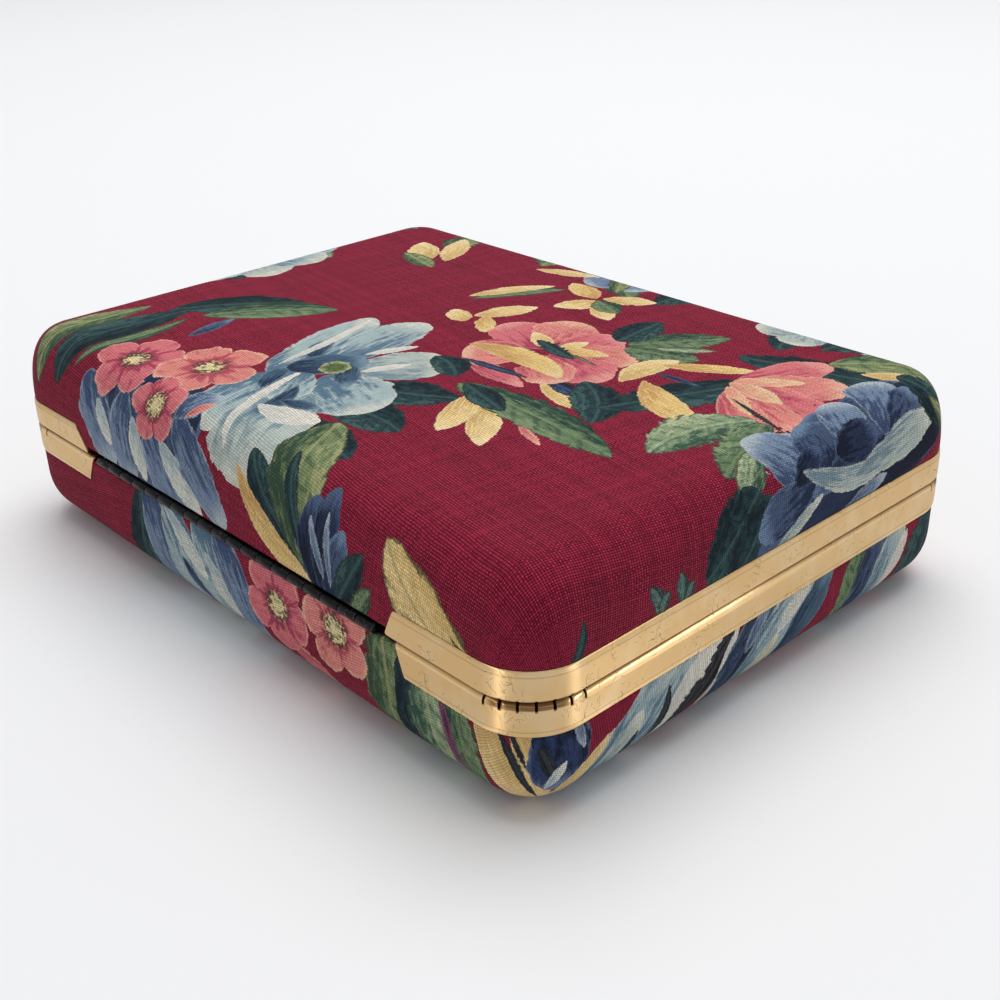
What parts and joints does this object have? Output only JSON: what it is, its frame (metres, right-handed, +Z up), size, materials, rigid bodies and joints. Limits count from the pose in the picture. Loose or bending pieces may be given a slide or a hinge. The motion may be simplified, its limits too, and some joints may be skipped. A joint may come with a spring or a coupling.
{
  "type": "jewelry travel case",
  "caption": "Hinged hard case for jewelry, covered with floral printed cotton, with gold metal bands round both rims and a front clasp plate.",
  "frame": {"origin": "middle of the flat underside that the closed case rests on", "axes": "+X along the long side, +Y towards the hinge at the back, +Z up"},
  "size_m": [0.178, 0.1334, 0.0496],
  "materials": {
    "printed_cotton": "plain-weave cotton with a floral print on burgundy, matt",
    "gold_frame": "pale champagne gold plate, satin with fine scratches",
    "dark_hinge": "blackened steel, half matt"
  },
  "bodies": {
    "base": {"base_shell": "printed_cotton", "base_frame": "gold_frame", "base_leaf": "dark_hinge", "hinge_pin": "dark_hinge"},
    "lid": {"lid_shell": "printed_cotton", "lid_frame": "gold_frame", "lid_leaf": "dark_hinge", "front_clasp": "gold_frame"}
  },
  "joints": [
    {"name": "lid_hinge", "type": "hinge", "parent": "base", "child": "lid", "pos_m": [0, 0.0653, 0.0253], "axis": [-1, 0, 0], "range_deg": [0, 100]}
  ]
}
